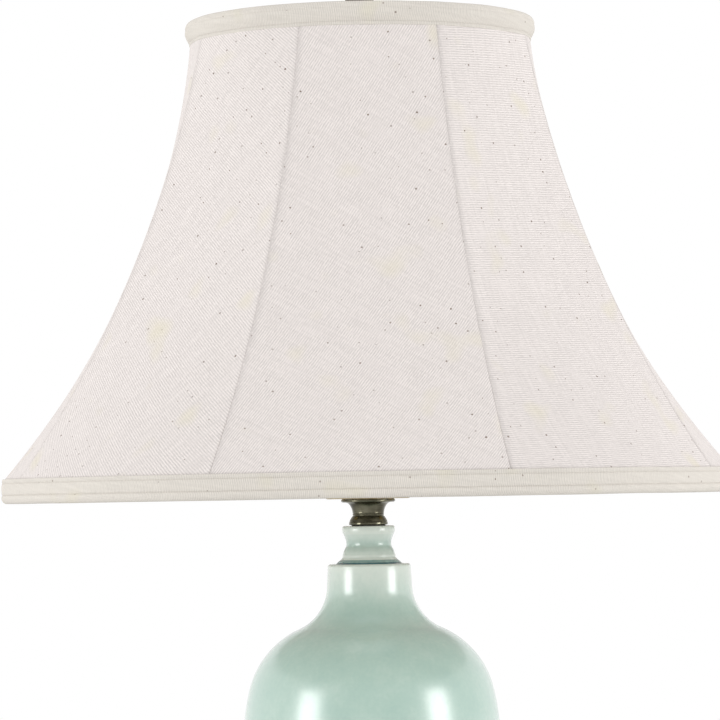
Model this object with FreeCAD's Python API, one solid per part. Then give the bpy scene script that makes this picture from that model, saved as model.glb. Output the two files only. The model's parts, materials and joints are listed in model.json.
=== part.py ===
import FreeCAD, Part
import math
import os

# Ginger jar lamp. Millimetres, +Z up, origin at the bottom centre, front towards -Y.
# Everything stacks upward from the table: base, jar, brass neck, harp, shade and finial.

# ---------------------------------------------------------------- driving dimensions

# Clearances
running_gap = 0.06          # shaft in its bore, on the radius
slip_gap = 0.15             # parts that slide or drop over each other, on the radius
lap_gap = 0.2               # flat faces of the harp's half laps
free_gap = 0.3              # curved faces of different moving pieces
finial_gap = 0.1            # finial's foot above the spider's washer
block_gap = 0.45            # socket block in its liner, on the radius

# Base
felt_thickness = 1.5
base_radius = 62.0
base_drum_height = 14.0
base_height = 22.5
base_wall = 3.0
base_edge = 1.2
plinth_radius = 54.5
plinth_wall = 4.5
plinth_height = 4.5         # upright part of the plinth, above the cove
gasket_thickness = 1.0
gasket_width = 13.5
outlet_bore_radius = 3.5
outlet_barrel_radius = 4.4
outlet_flange_radius = 5.3
outlet_flange_thickness = 1.8
outlet_flat_depth = 0.5     # flat on the drum's back that the outlet's flange seats on

# Threaded pipe and its fasteners
pipe_radius = 4.85
pipe_bore_radius = 3.4
nut_across_flats = 14.3
nut_height = 4.0
lock_washer_radius = 8.6
lock_washer_thickness = 1.0
base_washer_radius = 17.0
base_washer_thickness = 1.2
pipe_tail = 3.0

# Jar
jar_wall = 5.0
jar_floor = 6.0
jar_foot_radius = 47.5
jar_foot_height = 8.0
jar_foot_edge = 1.5
jar_bore_radius = 8.0
belly_radius = 80.0
belly_height = 156.0        # widest point above the jar's bottom
upper_flank_radius = 122.0
upper_flank_angle = 14.7    # degrees of arc above the widest point
shoulder_radius = 55.0
collar_radius = 26.6
collar_foot_height = 251.0  # where the shoulder's hollow curve turns upright
collar_height = 263.7       # collar's flat top above the jar's bottom
collar_edge = 1.5
collar_draft = 0.6          # collar's lip is this much narrower than its foot
neck_crease_width = 3.0     # groove between the collar's flat top and the neck ring
neck_ring_radius = 16.5
neck_waist_radius = 13.6
neck_height = 23.8          # ceramic neck above the collar

# Brass neck
seat_thickness = 0.6
seat_spigot = 4.0
brass_lip_radius = 11.6
brass_stem_radius = 9.4
brass_flange_radius = 16.8
brass_neck_height = 16.3

# Harp
saddle_thickness = 1.2
saddle_width = 12.0
saddle_arm_height = 14.0
saddle_bend = 4.0
saddle_boss_radius = 3.4
saddle_boss_height = 2.5
post_height = 8.0
harp_wire_radius = 1.6
harp_foot_spread = 28.0     # leg's distance from the axis at the saddle
harp_half_width = 57.0
harp_height = 269.0         # from the saddle's underside to the seat of the shade
harp_straight = 22.0        # straight leg above the post
harp_flare = 50.0           # height over which a leg swings outward
harp_arch_radius = 50.0
hub_radius = 6.5
hub_height = 8.0
stud_radius = 3.15
stud_height = 14.0
sleeve_length = 20.0
sleeve_wall = 1.1

# Socket
cap_collar_radius = 7.0
cap_collar_height = 8.0
cap_dome_height = 8.0
cap_rim_height = 5.0
cap_wall = 0.8
shell_radius = 16.2
shell_wall = 0.5
shell_height = 38.5
liner_wall = 0.8
block_height = 18.5
block_rim = 0.7             # block's edge outside the screw shell
screw_shell_wall = 0.4
screw_shell_height = 20.0
set_screw_radius = 1.7
terminal_shank_radius = 1.5
terminal_head_radius = 3.2
centre_contact_height = 1.5
switch_shaft_radius = 2.0
switch_shaft_end = 6.5      # shaft's inner end, from the lamp's axis
switch_height = 9.5         # knob's axis above the socket block's underside
knob_radius = 5.5
knob_length = 12.0
knob_grooves = 12

# Bulb
bulb_cap_height = 22.0
bulb_cap_metal = 0.4
bulb_heel_radius = 8.0
bulb_contact_height = 3.4
bulb_radius = 30.0
bulb_length = 108.0
bulb_glass_wall = 0.8

# Shade
spider_thickness = 1.6
spider_washer_radius = 11.0
spider_wire_radius = 1.5
spider_flat = 76.0          # reach of the level part of an arm
spider_drop = 23.8
spider_arms = 4
shade_height = 298.8
seam_top_radius = 107.0
seam_waist_radius = 150.75
seam_bottom_radius = 226.9
seam_waist_drop = 148.8     # below the shade's top edge
panel_count = 8
seam_angles = (-19.6, -21.7, -23.7)     # first seam at top, waist and bottom, degrees from the front
cover_thickness = 1.0
lining_thickness = 0.6
rib_radius = 1.3
rib_bead = 0.05             # weld's swelling where a rib bends into its foot
top_ring_radius = 1.5
bottom_ring_radius = 1.8
top_trim_height = 14.5
bottom_trim_height = 15.3
trim_thickness = 0.9
trim_gap = 0.6              # between the bottom trim and the cover under it

# Finial
finial_height = 60.0

# ---------------------------------------------------------------- levels, from the table up

base_bottom = felt_thickness
base_top = base_bottom + base_height
web_bottom = base_top - base_wall
jar_bottom = base_top + gasket_thickness
foot_top = jar_bottom + jar_foot_height
belly_level = jar_bottom + belly_height
collar_foot = jar_bottom + collar_foot_height
collar_top = jar_bottom + collar_height
neck_top = collar_top + neck_height
brass_bottom = neck_top + seat_thickness
brass_top = brass_bottom + brass_neck_height
saddle_top = brass_top + saddle_thickness
arm_top = brass_top + saddle_arm_height
post_top = arm_top + post_height
wire_foot = post_top + free_gap
cap_collar_top = saddle_top + cap_collar_height
cap_top = cap_collar_top + cap_dome_height
cap_rim_top = cap_top + cap_rim_height
set_screw_level = saddle_top + cap_collar_height / 2
shell_bottom = cap_top + cap_wall
shell_top = shell_bottom + shell_height
block_bottom = shell_bottom
block_top = block_bottom + block_height
terminal_level = block_bottom + block_height * 0.55
switch_level = block_bottom + switch_height
bulb_bottom = block_top + centre_contact_height
bulb_top = bulb_bottom + bulb_length
bulb_cap_low = bulb_bottom + bulb_contact_height
bulb_cap_high = bulb_cap_low + bulb_cap_height
outlet_level = base_bottom + outlet_flange_radius + free_gap
nut_top = web_bottom - base_washer_thickness - lock_washer_thickness
pipe_bottom = nut_top - nut_height - pipe_tail
pipe_top = cap_collar_top - 1.0
harp_seat = brass_top + harp_height
wire_top = harp_seat - hub_height / 2
spider_top = harp_seat + spider_thickness
spider_arm_level = spider_top - spider_wire_radius
top_ring_level = harp_seat + spider_thickness / 2 + spider_drop
shade_top = top_ring_level + top_trim_height * 0.4
shade_bottom = shade_top - shade_height
bottom_ring_level = shade_bottom + bottom_ring_radius + trim_thickness + 0.3
seam_top = top_ring_level + 1.0
seam_waist = shade_top - seam_waist_drop
seam_bottom = shade_bottom + bottom_trim_height - 0.8

# ---------------------------------------------------------------- radii that follow from others

pipe_hole = pipe_radius + slip_gap
outlet_seat = base_radius - outlet_flat_depth
liner_radius = shell_radius - shell_wall - slip_gap
block_radius = liner_radius - liner_wall - block_gap
screw_shell_radius = block_radius - block_rim
bulb_cap_radius = screw_shell_radius - screw_shell_wall - slip_gap
terminal_head_reach = block_radius - 0.3
terminal_face = block_radius - 2.5
terminal_tip = block_radius - 7.0
rib_inset = cover_thickness + 0.2 + rib_radius
lining_inset = cover_thickness + 0.4 + 2 * rib_radius
top_ring_spread = seam_top_radius - cover_thickness - top_ring_radius - 0.1
bottom_ring_spread = seam_bottom_radius - bottom_ring_radius + 0.3
gore = 360.0 / panel_count

origin = FreeCAD.Vector(0, 0, 0)
x_axis = FreeCAD.Vector(1, 0, 0)
y_axis = FreeCAD.Vector(0, 1, 0)
up = FreeCAD.Vector(0, 0, 1)

# ---------------------------------------------------------------- shape helpers


def turned(start, *steps):
    """Solid of revolution about Z from (r, z) points.

    A step is (r, z) for a straight line, or a pair of points for an arc through the first to the second."""
    here = FreeCAD.Vector(start[0], 0, start[1])
    first = here
    edges = []
    for step in steps:
        if isinstance(step[0], tuple):
            via = FreeCAD.Vector(step[0][0], 0, step[0][1])
            there = FreeCAD.Vector(step[1][0], 0, step[1][1])
            edges.append(Part.Arc(here, via, there).toShape())
        else:
            there = FreeCAD.Vector(step[0], 0, step[1])
            edges.append(Part.makeLine(here, there))
        here = there
    edges.append(Part.makeLine(here, first))
    return Part.Face(Part.Wire(edges)).revolve(origin, up, 360)


def rod(radius, low, high, x=0.0, y=0.0):
    """Upright cylinder between two levels."""
    return Part.makeCylinder(radius, high - low, FreeCAD.Vector(x, y, low))


def ring(outer, inner, low, high):
    """Flat-ended ring between two levels."""
    return rod(outer, low, high).cut(rod(inner, low, high))


def box(low, high):
    """Box between two corners."""
    size = [high[axis] - low[axis] for axis in range(3)]
    return Part.makeBox(size[0], size[1], size[2], FreeCAD.Vector(*low))


def along_y(shape, level, reach=0.0, backwards=False):
    """Turns a shape made about +Z to lie along +Y, or -Y, at a level."""
    lying = shape.copy()
    lying.rotate(origin, x_axis, 90 if backwards else -90)
    lying.translate(FreeCAD.Vector(0, -reach if backwards else reach, level))
    return lying


def along_x(shape, level, side):
    """Turns a shape made about +Z to point along +X (side 1) or -X (side -1) at a level."""
    lying = shape.copy()
    lying.rotate(origin, y_axis, 90 * side)
    lying.translate(FreeCAD.Vector(0, 0, level))
    return lying


def swept(path, radius, start, direction):
    """Round wire along a path of straight and arc edges."""
    section = Part.Wire(Part.makeCircle(radius, start, direction))
    return path.makePipeShell([section], True, False)


def rotated(shape, degrees):
    turned_shape = shape.copy()
    turned_shape.rotate(origin, up, degrees)
    return turned_shape


# ---------------------------------------------------------------- base and outlet


def make_felt_pad():
    return rod(base_radius - base_edge, 0, felt_thickness)


def make_base():
    """Hollow stepped base: an upright drum, a cove and a plinth under the jar."""
    drum_top = base_bottom + base_drum_height
    cove_top = base_top - plinth_height
    bevel = 0.3 * base_edge     # how far each rounded edge's middle lies inside its corner
    body = turned(
        (base_radius - base_wall, base_bottom),
        (base_radius - base_edge, base_bottom),
        ((base_radius - bevel, base_bottom + bevel), (base_radius, base_bottom + base_edge)),
        (base_radius, drum_top - base_edge),
        ((base_radius - bevel, drum_top - bevel), (base_radius - base_edge, drum_top)),
        (base_radius - 2.5 * base_edge, drum_top),
        ((plinth_radius + 1.2, drum_top + 1.2), (plinth_radius, cove_top)),
        (plinth_radius, base_top - base_edge),
        ((plinth_radius - bevel, base_top - bevel), (plinth_radius - base_edge, base_top)),
        (pipe_hole, base_top),
        (pipe_hole, web_bottom),
        (plinth_radius - plinth_wall, web_bottom),
        (plinth_radius - plinth_wall, drum_top - base_wall),
        (base_radius - base_wall, drum_top - base_wall),
    )
    hole = rod(outlet_barrel_radius + slip_gap, base_radius - 2 * base_wall, base_radius + 1)
    behind_flat = box((-base_radius, outlet_seat, 0), (base_radius, base_radius + 1, drum_top + 1))
    return body.cut(behind_flat).cut(along_y(hole, outlet_level))


def make_outlet_bushing():
    """Flanged bushing in the base's rear wall that the lead would pass through."""
    inner_face = math.sqrt((base_radius - base_wall) ** 2 - outlet_flange_radius ** 2) - 0.05
    back = inner_face - outlet_flange_thickness
    front = outlet_seat + outlet_flange_thickness
    bushing = turned(
        (outlet_bore_radius, back),
        (outlet_flange_radius, back),
        (outlet_flange_radius, inner_face),
        (outlet_barrel_radius, inner_face),
        (outlet_barrel_radius, outlet_seat),
        (outlet_flange_radius, outlet_seat),
        (outlet_flange_radius, front - 0.6),
        ((outlet_flange_radius - 0.2, front - 0.2), (outlet_flange_radius - 0.6, front)),
        (outlet_bore_radius, front),
    )
    return along_y(bushing, outlet_level)


def make_base_washer():
    return ring(base_washer_radius, pipe_hole, web_bottom - base_washer_thickness, web_bottom)


def make_lock_washer():
    high = web_bottom - base_washer_thickness
    return ring(lock_washer_radius, pipe_hole, high - lock_washer_thickness, high)


def make_pipe_nut():
    """Hexagon nut drawn up against the lock washer."""
    corner = nut_across_flats / math.sqrt(3)
    points = []
    for corner_number in range(7):
        angle = math.radians(60 * corner_number)
        x = corner * math.cos(angle)
        y = corner * math.sin(angle)
        points.append(FreeCAD.Vector(x, y, nut_top - nut_height))
    hexagon = Part.Face(Part.makePolygon(points)).extrude(up * nut_height)
    return hexagon.cut(rod(pipe_radius, nut_top - nut_height, nut_top))


def make_lamp_pipe():
    return ring(pipe_radius, pipe_bore_radius, pipe_bottom, pipe_top)


# ---------------------------------------------------------------- jar


def make_base_gasket():
    outer = jar_foot_radius - jar_foot_edge
    return ring(outer, outer - gasket_width, base_top, jar_bottom)


def on_arc(centre, radius, degrees):
    angle = math.radians(degrees)
    return (centre[0] + radius * math.cos(angle), centre[1] + radius * math.sin(angle))


def jar_side(inset, start_level):
    """Arc steps of the jar's side from a level near the foot to the collar, moved inward by inset."""
    fall = belly_level - foot_top
    narrowing = belly_radius - jar_foot_radius
    flank_radius = (narrowing ** 2 + fall ** 2) / (2 * narrowing)
    flank_centre = (belly_radius - flank_radius, belly_level)
    upper_centre = (belly_radius - upper_flank_radius, belly_level)
    shoulder_centre = on_arc(upper_centre, upper_flank_radius - shoulder_radius, upper_flank_angle)
    across = collar_radius - shoulder_centre[0]
    rise = collar_foot - shoulder_centre[1]
    hollow_radius = (across ** 2 + rise ** 2 - shoulder_radius ** 2) / (2 * (shoulder_radius - across))
    hollow_centre = (collar_radius + hollow_radius, collar_foot)
    turn = math.degrees(math.atan2(hollow_centre[1] - shoulder_centre[1],
                                   hollow_centre[0] - shoulder_centre[0]))
    start = -math.degrees(math.asin((belly_level - start_level) / (flank_radius - inset)))
    spans = (
        (flank_centre, flank_radius - inset, start, 0),
        (upper_centre, upper_flank_radius - inset, 0, upper_flank_angle),
        (shoulder_centre, shoulder_radius - inset, upper_flank_angle, turn),
        (hollow_centre, hollow_radius + inset, 180 + turn, 180),
    )
    steps = []
    for centre, radius, begin, end in spans:
        steps.append((on_arc(centre, radius, (begin + end) / 2), on_arc(centre, radius, end)))
    return on_arc(flank_centre, flank_radius - inset, start), steps


def reversed_steps(start, steps):
    """The same run of arcs walked from its end back to its start."""
    ends = [start] + [step[1] for step in steps]
    back = []
    for number in range(len(steps) - 1, -1, -1):
        back.append((steps[number][0], ends[number]))
    return back


def make_jar():
    """Glazed jar, cast in one piece with its collar and its waisted neck ring."""
    outer_start, outer_steps = jar_side(0.0, foot_top)
    inner_start, inner_steps = jar_side(jar_wall, jar_bottom + jar_floor)
    lip = collar_radius - collar_draft
    crease = neck_ring_radius + neck_crease_width
    foot_edge_top = jar_bottom + jar_foot_edge
    foot_bevel = 0.3 * jar_foot_edge
    lip_bevel = 0.3 * collar_edge
    return turned(
        (jar_bore_radius, jar_bottom),
        (jar_foot_radius - jar_foot_edge, jar_bottom),
        ((jar_foot_radius - foot_bevel, jar_bottom + foot_bevel), (jar_foot_radius, foot_edge_top)),
        outer_start,
        *outer_steps,
        (lip, collar_top - collar_edge),
        ((lip - lip_bevel, collar_top - lip_bevel), (lip - collar_edge, collar_top)),
        (crease, collar_top),
        (neck_ring_radius, collar_top + 3.4),
        (neck_ring_radius, collar_top + 5.0),
        (neck_ring_radius - 1.0, collar_top + 8.7),
        ((neck_waist_radius, collar_top + 13.1), (neck_waist_radius + 1.1, collar_top + 16.3)),
        (neck_ring_radius, neck_top - 3.8),
        (neck_ring_radius, neck_top - 1.8),
        ((neck_ring_radius - 0.5, neck_top - 0.5), (neck_ring_radius - 1.7, neck_top)),
        (jar_bore_radius, neck_top),
        (jar_bore_radius, collar_top - jar_wall),
        (collar_radius - jar_wall, collar_top - jar_wall),
        inner_steps[-1][1],
        *reversed_steps(inner_start, inner_steps),
        (jar_bore_radius, jar_bottom + jar_floor),
    )


# ---------------------------------------------------------------- brass neck


def make_neck_seat():
    """Rubber washer under the brass neck, with a spigot that centres the pipe in the jar."""
    return turned(
        (pipe_hole, neck_top - seat_spigot),
        (jar_bore_radius - slip_gap, neck_top - seat_spigot),
        (jar_bore_radius - slip_gap, neck_top),
        (brass_lip_radius - 1.0, neck_top),
        (brass_lip_radius - 1.0, brass_bottom),
        (pipe_hole, brass_bottom),
    )


def make_brass_neck():
    """Turned neck: a lip, a cone, a bead, a stem and a thin trumpet flange."""
    stem = brass_stem_radius
    low = brass_bottom
    high = brass_top
    return turned(
        (pipe_hole, low),
        (brass_lip_radius, low),
        (brass_lip_radius, low + 1.25),
        (brass_lip_radius - 0.3, low + 1.25),
        (stem, low + 5.3),
        ((stem + 0.7, low + 5.75), (stem, low + 6.2)),
        (stem - 0.5, low + 6.4),
        (stem, low + 6.7),
        (stem + 0.6, high - 3.8),
        ((stem + 3.7, high - 2.4), (brass_flange_radius, high - 0.9)),
        ((brass_flange_radius + 0.2, high - 0.45), (brass_flange_radius, high)),
        (pipe_hole, high),
    )


# ---------------------------------------------------------------- harp


def make_saddle():
    """Bent strip clamped under the socket cap, with a boss and a half-round post at each end."""
    outer = harp_foot_spread + saddle_thickness / 2
    inner = outer - saddle_thickness
    flat_end = outer - saddle_bend
    bend_top = brass_top + saddle_bend
    corner = saddle_bend * (1 - math.sqrt(0.5))
    inner_corner = (saddle_bend - saddle_thickness) * (1 - math.sqrt(0.5))

    def at(x, level):
        return FreeCAD.Vector(x, -saddle_width / 2, level)

    edges = []
    for side in (1, -1):
        under = at(side * flat_end, brass_top)
        outside = at(side * outer, bend_top)
        inside = at(side * inner, bend_top)
        over = at(side * flat_end, saddle_top)
        outer_middle = at(side * (outer - corner), brass_top + corner)
        inner_middle = at(side * (inner - inner_corner), saddle_top + inner_corner)
        edges.append(Part.makeLine(at(0, brass_top), under))
        edges.append(Part.Arc(under, outer_middle, outside).toShape())
        edges.append(Part.makeLine(outside, at(side * outer, arm_top)))
        edges.append(Part.makeLine(at(side * outer, arm_top), at(side * inner, arm_top)))
        edges.append(Part.makeLine(at(side * inner, arm_top), inside))
        edges.append(Part.Arc(inside, inner_middle, over).toShape())
        edges.append(Part.makeLine(over, at(0, saddle_top)))
    outline = Part.Wire(Part.__sortEdges__(edges))
    saddle = Part.Face(outline).extrude(y_axis * saddle_width)
    saddle = saddle.cut(rod(pipe_hole, brass_top, saddle_top))
    for side in (1, -1):
        foot_x = side * harp_foot_spread
        saddle = saddle.fuse(rod(saddle_boss_radius, arm_top - saddle_boss_height, arm_top, foot_x))
        saddle = saddle.fuse(half_rod(foot_x, side, arm_top, post_top))
    return saddle.removeSplitter()


def half_rod(centre_x, side, low, high):
    """Half of a round rod: its +X half for side 1, its -X half for side -1."""
    radius = harp_wire_radius
    whole = rod(radius, low, high, centre_x)
    near = lap_gap / 2 if side > 0 else -2 * radius
    far = 2 * radius if side > 0 else -lap_gap / 2
    return whole.common(box((centre_x + near, -2 * radius, low), (centre_x + far, 2 * radius, high)))


def make_harp_wire():
    """One wire from post to post: straight feet, flared legs and a round arch."""
    foot = harp_foot_spread
    wide = harp_half_width
    flare_low = wire_foot + harp_straight
    flare_high = flare_low + harp_flare
    arch_low = wire_top - harp_arch_radius
    swing = 2 * math.atan((wide - foot) / harp_flare)
    swing_radius = harp_flare / 2 / math.sin(swing)
    middle_x = (foot + wide) / 2
    middle_level = (flare_low + flare_high) / 2
    bow_x = swing_radius * (1 - math.cos(swing / 2))
    bow_level = swing_radius * math.sin(swing / 2)
    corner = harp_arch_radius * (1 - math.sqrt(0.5))

    def at(x, level):
        return FreeCAD.Vector(x, 0, level)

    def leg(side):
        return [
            Part.makeLine(at(side * foot, wire_foot), at(side * foot, flare_low)),
            Part.Arc(at(side * foot, flare_low), at(side * (foot + bow_x), flare_low + bow_level),
                     at(side * middle_x, middle_level)).toShape(),
            Part.Arc(at(side * middle_x, middle_level), at(side * (wide - bow_x), flare_high - bow_level),
                     at(side * wide, flare_high)).toShape(),
            Part.makeLine(at(side * wide, flare_high), at(side * wide, arch_low)),
            Part.Arc(at(side * wide, arch_low), at(side * (wide - corner), wire_top - corner),
                     at(side * (wide - harp_arch_radius), wire_top)).toShape(),
        ]

    across = Part.makeLine(at(harp_arch_radius - wide, wire_top), at(wide - harp_arch_radius, wire_top))
    path = Part.Wire(Part.__sortEdges__(leg(-1) + [across] + leg(1)))
    wire = swept(path, harp_wire_radius, at(-foot, wire_foot), up)
    for side in (1, -1):
        foot_x = side * foot
        wire = wire.fuse(half_rod(foot_x, -side, arm_top, wire_foot))
    return wire.removeSplitter()


def make_harp_stud():
    """Hub staked on the harp's arch, with the stud that holds the shade and finial."""
    hub = rod(hub_radius, harp_seat - hub_height, harp_seat)
    channel = along_x(rod(harp_wire_radius, -2 * hub_radius, 2 * hub_radius), wire_top, 1)
    return hub.fuse(rod(stud_radius, harp_seat, harp_seat + stud_height)).cut(channel)


def make_sleeve(side):
    """Sleeve that drops over a post and the harp's foot and locks them together."""
    inner = harp_wire_radius + free_gap
    outer = inner + sleeve_wall
    edge = 0.4
    sleeve = turned(
        (inner, arm_top),
        (outer, arm_top),
        (outer, arm_top + 1.6),
        (outer - edge, arm_top + 2.0),
        (outer - edge, arm_top + sleeve_length - edge),
        (inner, arm_top + sleeve_length),
    )
    sleeve.translate(FreeCAD.Vector(side * harp_foot_spread, 0, 0))
    return sleeve


# ---------------------------------------------------------------- socket and switch


def make_socket_cap():
    """Spun cap: a threaded collar on the pipe, a dome and a rim around the shell."""
    rim = shell_radius + slip_gap + cap_wall
    bend_r = (rim + cap_collar_radius) / 2 + 2.4
    bend_z = (cap_collar_top + cap_top) / 2 - 2.0
    cap = turned(
        (pipe_radius, saddle_top),
        (cap_collar_radius, saddle_top),
        (cap_collar_radius, cap_collar_top),
        ((bend_r, bend_z), (rim, cap_top)),
        (rim, cap_rim_top),
        (rim - cap_wall, cap_rim_top),
        (rim - cap_wall, cap_top),
        ((bend_r - cap_wall, bend_z + cap_wall), (cap_collar_radius, cap_collar_top + cap_wall)),
        (pipe_radius, cap_collar_top + cap_wall),
    )
    screw_hole = along_y(rod(set_screw_radius, pipe_radius - 0.5, cap_collar_radius + 1), set_screw_level)
    return cap.cut(screw_hole)


def make_set_screw():
    """Slotted screw through the cap's collar, tight against the pipe."""
    tip = pipe_radius
    head = cap_collar_radius + 1.5
    screw = rod(set_screw_radius, tip, head)
    slot = box((-set_screw_radius, -0.3, head - 0.8), (set_screw_radius, 0.3, head))
    lying = along_y(screw.cut(slot), set_screw_level)
    return lying.cut(rod(pipe_radius, pipe_bottom, pipe_top))


def switch_hole(radius):
    """Radial hole at the front for the switch shaft."""
    return along_y(rod(radius, 0, shell_radius + 2), switch_level, backwards=True)


def make_socket_shell():
    """Brass shell with a rolled mouth, slotted into the cap."""
    outer = shell_radius
    inner = shell_radius - shell_wall
    shell = turned(
        (inner, shell_bottom),
        (outer, shell_bottom),
        (outer, shell_top - 6.0),
        ((outer + 0.5, shell_top - 5.2), (outer, shell_top - 4.4)),
        (outer, shell_top),
        (inner, shell_top),
    )
    return shell.cut(switch_hole(switch_shaft_radius + 2 * free_gap))


def make_socket_liner():
    liner = ring(liner_radius, liner_radius - liner_wall, shell_bottom, shell_top - 1.0)
    return liner.cut(switch_hole(switch_shaft_radius + 2 * free_gap))


def make_socket_block():
    """Moulded interior with the switch bore and two terminal pockets."""
    block = turned(
        (0, block_bottom),
        (block_radius - 1.0, block_bottom),
        (block_radius, block_bottom + 1.0),
        (block_radius, block_top - 0.6),
        (block_radius - 0.6, block_top),
        (0, block_top),
    )
    bore = rod(switch_shaft_radius + running_gap, switch_shaft_end - 0.5, block_radius + 1)
    block = block.cut(along_y(bore, switch_level, backwards=True))
    for side in (1, -1):
        inner = min(side * terminal_face, side * (block_radius + 1))
        outer = max(side * terminal_face, side * (block_radius + 1))
        block = block.cut(box((inner, -4.0, terminal_level - 4.0), (outer, 4.0, terminal_level + 4.0)))
        shank_hole = rod(terminal_shank_radius, terminal_tip, block_radius)
        block = block.cut(along_x(shank_hole, terminal_level, side))
    return block


def make_terminal_screws():
    """Two slotted binding screws, one each side of the block."""
    screws = []
    for side in (1, -1):
        shank = rod(terminal_shank_radius, terminal_tip, terminal_face)
        head = rod(terminal_head_radius, terminal_face, terminal_head_reach)
        slot = box((-4, -0.4, terminal_head_reach - 0.8), (4, 0.4, terminal_head_reach))
        screws.append(along_x(shank.fuse(head).cut(slot), terminal_level, side))
    return Part.Compound(screws)


def make_screw_shell():
    """Thin metal shell, seated on the block, that the bulb's cap screws into."""
    inner = screw_shell_radius - screw_shell_wall
    return turned(
        (inner - 3.0, block_top),
        (screw_shell_radius, block_top),
        (screw_shell_radius, block_top + screw_shell_height),
        (inner, block_top + screw_shell_height),
        (inner, block_top + screw_shell_wall),
        (inner - 3.0, block_top + screw_shell_wall),
    )


def make_centre_contact():
    return turned(
        (0, block_top),
        (3.5, block_top),
        (3.5, block_top + 0.5),
        (2.0, bulb_bottom),
        (0, bulb_bottom),
    )


def make_switch_knob():
    """Turn knob on its shaft, pointing to the front."""
    knob_start = shell_radius + 2.4
    shaft = rod(switch_shaft_radius, switch_shaft_end, knob_start + 1)
    knob = turned(
        (0, knob_start),
        (3.2, knob_start),
        (knob_radius, knob_start + 2.5),
        (knob_radius, knob_start + knob_length - 1.0),
        ((knob_radius - 0.3, knob_start + knob_length - 0.3), (knob_radius - 1.0, knob_start + knob_length)),
        (0, knob_start + knob_length),
    )
    for number in range(knob_grooves):
        angle = 2 * math.pi * number / knob_grooves
        groove_x = (knob_radius + 0.35) * math.cos(angle)
        groove_y = (knob_radius + 0.35) * math.sin(angle)
        knob = knob.cut(rod(0.75, knob_start + 1.5, knob_start + knob_length + 1, groove_x, groove_y))
    return along_y(shaft.fuse(knob), switch_level, backwards=True)


# ---------------------------------------------------------------- bulb


def make_bulb_contact():
    """End contact on its insulating button."""
    return turned(
        (0, bulb_bottom),
        (1.8, bulb_bottom),
        (2.8, bulb_bottom + 0.5),
        (3.6, bulb_bottom + 1.2),
        (bulb_heel_radius - bulb_cap_metal, bulb_cap_low),
        (bulb_heel_radius - bulb_cap_metal, bulb_cap_low + 1.0),
        (0, bulb_cap_low + 1.0),
    )


def make_bulb_cap():
    """Metal screw cap of the bulb."""
    inner = bulb_cap_radius - bulb_cap_metal
    return turned(
        (bulb_heel_radius - bulb_cap_metal, bulb_cap_low),
        (bulb_heel_radius, bulb_cap_low),
        (bulb_cap_radius, bulb_cap_low + 3.0),
        (bulb_cap_radius, bulb_cap_high),
        (inner, bulb_cap_high),
        (inner, bulb_cap_low + 3.2),
        (bulb_heel_radius - bulb_cap_metal, bulb_cap_low + 0.4),
    )


def make_bulb_glass():
    """Glass envelope: a neck held in the cap and a round globe."""
    def side(inset):
        globe = bulb_radius - inset
        centre = (0, bulb_top - bulb_radius)
        neck = bulb_cap_radius - bulb_cap_metal - 0.1 - inset
        return (
            (neck, bulb_cap_high - 6.0),
            (neck, bulb_cap_high + 2.0),
            (on_arc(centre, globe, -35)[0] * 0.67, bulb_cap_high + 20.0),
            on_arc(centre, globe, -35),
            on_arc(centre, globe, 25),
            on_arc(centre, globe, 90),
        )

    low, neck, throat, root, bulge, pole = side(0.0)
    low_in, neck_in, throat_in, root_in, bulge_in, pole_in = side(bulb_glass_wall)
    return turned(
        low_in,
        low,
        neck,
        (throat, root),
        (bulge, pole),
        pole_in,
        (bulge_in, root_in),
        (throat_in, neck_in),
    )


# ---------------------------------------------------------------- shade frame


def around(radius, degrees, level):
    """Point at a bearing from the front, positive towards +X."""
    angle = math.radians(degrees)
    return FreeCAD.Vector(radius * math.sin(angle), -radius * math.cos(angle), level)


seam_arc = Part.Arc(
    around(seam_top_radius, seam_angles[0], seam_top),
    around(seam_waist_radius, seam_angles[1], seam_waist),
    around(seam_bottom_radius, seam_angles[2], seam_bottom),
)


def on_seam(share, inset):
    """Radius, bearing and level of the first seam, share 0 at the top and 1 at the bottom.

    The radius is drawn in so that the seam lies inset under the cover's outer face."""
    parameter = seam_arc.FirstParameter + share * (seam_arc.LastParameter - seam_arc.FirstParameter)
    place = seam_arc.value(parameter)
    heading = seam_arc.tangent(parameter)[0]
    steepness = abs(heading.z) / heading.Length
    radius = math.hypot(place.x, place.y) - inset / steepness
    return radius, math.degrees(math.atan2(place.x, -place.y)), place.z


flattest = 0.42             # share of the way down where the panels are nearly flat
least_round = 0.12


def roundness(share):
    """1 where a panel follows the rings' circle, near 0 where it is stretched flat between ribs."""
    if share < flattest:
        tightness = math.sin(math.pi / 2 * share / flattest) ** 0.6
    else:
        tightness = math.cos(math.pi / 2 * (share - flattest) / (1 - flattest)) ** 1.1
    return 1 - (1 - least_round) * tightness


def cloth_point(share, across, inset):
    """Point on a stretched panel, across 0 to 1 from one seam to the next."""
    radius, bearing, level = on_seam(share, inset)
    chord = math.cos(math.radians(gore / 2)) / math.cos(math.radians(gore * (across - 0.5)))
    round_share = roundness(share)
    return around(radius * (round_share + (1 - round_share) * chord), bearing + gore * across, level)


cloth_rows = 15
cloth_columns = 7


def cloth_face(first, last, inset):
    """Smooth face of one panel between two shares of its height."""
    columns = [column / (cloth_columns - 1) for column in range(cloth_columns)]
    grid = []
    for row in range(cloth_rows):
        share = first + (last - first) * row / (cloth_rows - 1)
        grid.append([cloth_point(share, across, inset) for across in columns])
    surface = Part.BSplineSurface()
    surface.interpolate(grid)
    return surface


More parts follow.
